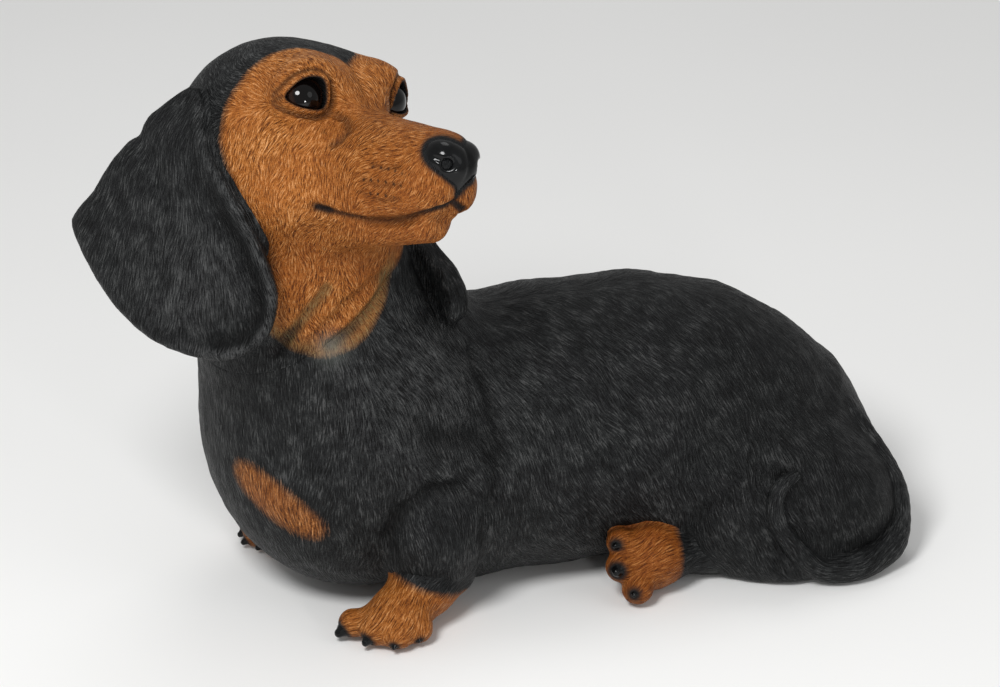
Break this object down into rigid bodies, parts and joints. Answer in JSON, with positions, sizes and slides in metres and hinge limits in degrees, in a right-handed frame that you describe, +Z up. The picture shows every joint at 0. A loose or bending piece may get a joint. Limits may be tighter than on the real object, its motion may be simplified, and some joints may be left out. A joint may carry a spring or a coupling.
{
  "type": "dog figurine",
  "caption": "Hollow ceramic figurine of a lying dachshund with its head turned, glass eyes, hand-painted black and tan coat and felt pads.",
  "frame": {"origin": "middle of the figurine's bounding box at the level of the resting surface", "axes": "+X from the chest towards the rump, +Z up, -Y is the side the dog's head is turned to and the tail is curled on"},
  "size_m": [0.4118, 0.202, 0.2986],
  "materials": {
    "torso_coat": "matt black paint over modelled hair, dry-brushed grey",
    "head_coat": "satin tan paint over modelled hair, black crown and nape",
    "ear_coat": "matt black paint over modelled hair",
    "tail_coat": "matt black paint over modelled hair",
    "paw_coat": "satin tan paint, black claws",
    "eye_glass": "polished black-brown glass",
    "nose_glaze": "black gloss glaze with a pebbled skin",
    "felt": "felt"
  },
  "bodies": {
    "root": {"torso_shell": "torso_coat", "head_shell": "head_coat", "ear_right": "ear_coat", "ear_left": "ear_coat", "tail": "tail_coat", "foreleg_left": "paw_coat", "foreleg_right": "paw_coat", "hind_foot_left": "paw_coat", "hind_foot_right": "paw_coat", "eye_left": "eye_glass", "eye_right": "eye_glass", "nose": "nose_glaze", "felt_front_left": "felt", "felt_front_right": "felt", "felt_rear_left": "felt", "felt_rear_right": "felt"}
  },
  "joints": []
}
